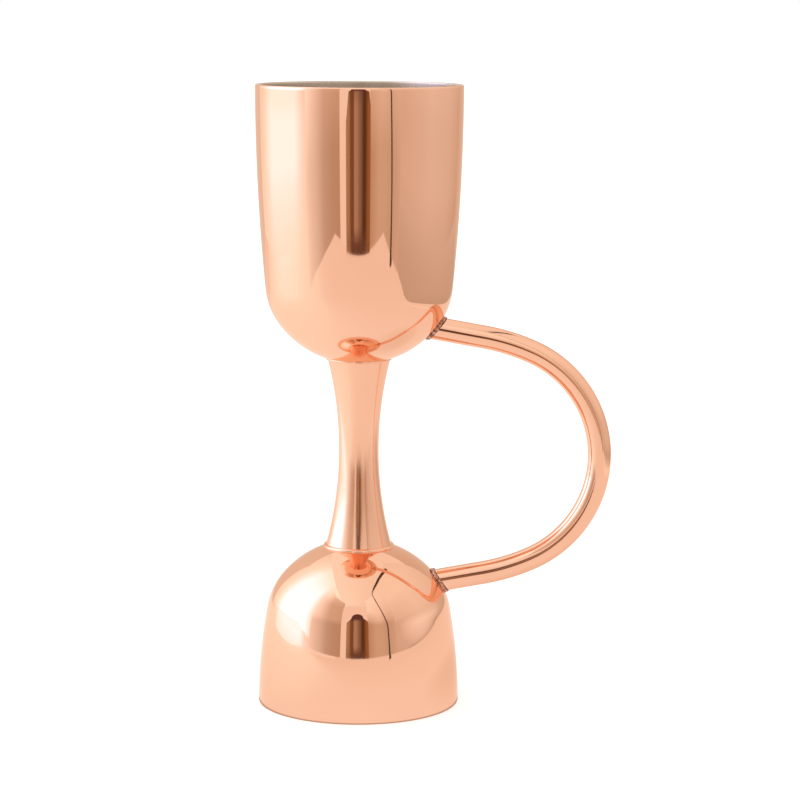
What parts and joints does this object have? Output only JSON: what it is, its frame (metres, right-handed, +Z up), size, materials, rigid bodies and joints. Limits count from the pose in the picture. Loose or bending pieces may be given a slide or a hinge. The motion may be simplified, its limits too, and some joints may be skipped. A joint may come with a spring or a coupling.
{
  "type": "bar jigger",
  "caption": "Bar jigger with a large cup and a small upturned cup set back to back on a waisted stem, and a round bar bent into a bow handle at one side.",
  "frame": {"origin": "centre of the foot ring, on the common axis of the two cups, in the plane the jigger stands on", "axes": "+Z up the common axis, from the small cup to the large cup; +X towards the handle; +Y away from a viewer who has the handle on the right"},
  "size_m": [0.0733, 0.0424, 0.128],
  "materials": {
    "copper_plate": "mirror polished copper plate over steel",
    "plated_filler": "copper plated filler, rippled and duller than the polished sheet"
  },
  "bodies": {
    "root": {"upper_cup": "copper_plate", "lower_cup": "copper_plate", "stem": "copper_plate", "upper_stem_braze": "copper_plate", "lower_stem_braze": "copper_plate", "handle": "copper_plate", "upper_handle_weld": "plated_filler", "lower_handle_weld": "plated_filler"}
  },
  "joints": []
}
